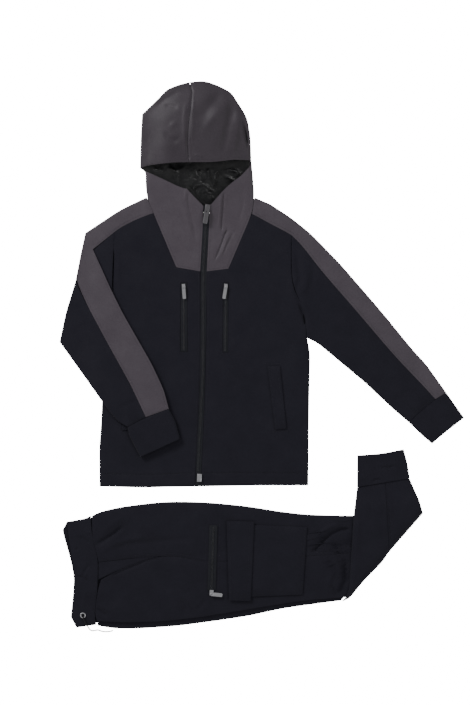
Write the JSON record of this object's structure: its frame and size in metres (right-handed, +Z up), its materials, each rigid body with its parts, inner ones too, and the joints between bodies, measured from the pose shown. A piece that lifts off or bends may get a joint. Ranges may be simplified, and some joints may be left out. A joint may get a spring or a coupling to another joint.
{
  "type": "tracksuit",
  "caption": "Hooded zip jacket with one sleeve folded over its front, laid above matching trousers folded on their side.",
  "frame": {"origin": "centre of the bounding box at the floor, under the laid set, measured without the drawcord", "axes": "+Z up from the floor to the camera, +Y towards the hood, from the trousers to the jacket, +X towards the jacket's straight sleeve"},
  "size_m": [0.8088, 1.103, 0.022],
  "materials": {
    "knit": "matte black double knit",
    "woven": "violet-grey stretch woven with a faint sheen",
    "satin": "black satin lining",
    "tape": "black zip tape with a nylon coil",
    "rib": "black rib knit",
    "gunmetal": "gunmetal plated zinc, satin",
    "nickel": "polished nickel plate",
    "cord": "black braided cord"
  },
  "bodies": {
    "set": {"jacket_back": "knit", "jacket_front_left": "knit", "jacket_front_right": "knit", "sleeve_right": "knit", "sleeve_left": "knit", "hand_pocket_welt_right": "knit", "hand_pocket_welt_left": "knit", "trouser_hidden_layers": "knit", "shin_hidden_layers": "knit", "trouser_waistband": "knit", "leg_back_panel": "knit", "leg_front_panel": "knit", "front_pocket_facing": "knit", "shin_back_panel": "knit", "shin_front_panel": "knit", "cargo_pocket_bag": "knit", "cargo_pocket_flap": "knit", "jacket_yoke_left": "woven", "jacket_yoke_right": "woven", "hood_left": "woven", "hood_right": "woven", "sleeve_stripe_right": "woven", "sleeve_stripe_left": "woven", "hood_lining": "satin", "main_zip_tape": "tape", "chest_zip_left_tape": "tape", "chest_zip_right_tape": "tape", "leg_zip_tape": "tape", "cuff_right": "rib", "cuff_left": "rib", "leg_cuff_under": "rib", "leg_cuff_upper": "rib", "main_zip_slider": "gunmetal", "main_zip_box": "nickel", "chest_zip_left_slider": "nickel", "chest_zip_right_slider": "nickel", "leg_zip_slider": "nickel", "drawcord_eyelet": "nickel", "drawcord": "cord"},
    "main_zip_pull": {"main_zip_pull": "gunmetal"},
    "chest_zip_left_pull": {"chest_zip_left_pull": "nickel"},
    "chest_zip_right_pull": {"chest_zip_right_pull": "nickel"},
    "leg_zip_pull": {"leg_zip_pull": "nickel"}
  },
  "joints": [
    {"name": "main_zip_pull_hinge", "type": "hinge", "parent": "set", "child": "main_zip_pull", "pos_m": [-0.1098, 0.2869, 0.01633], "axis": [-0.9877, 0.1564, 0], "range_deg": [0, 150]},
    {"name": "chest_zip_left_pull_hinge", "type": "hinge", "parent": "set", "child": "chest_zip_left_pull", "pos_m": [-0.1562, 0.1341, 0.0102], "axis": [-0.9976, -0.0698, 0], "range_deg": [0, 150]},
    {"name": "chest_zip_right_pull_hinge", "type": "hinge", "parent": "set", "child": "chest_zip_right_pull", "pos_m": [-0.0722, 0.1341, 0.0102], "axis": [-0.9877, 0.1564, 0], "range_deg": [0, 150]},
    {"name": "leg_zip_pull_hinge", "type": "hinge", "parent": "set", "child": "leg_zip_pull", "pos_m": [-0.1008, -0.4779, 0.01365], "axis": [-0.1045, -0.9945, 0], "range_deg": [0, 150]}
  ]
}
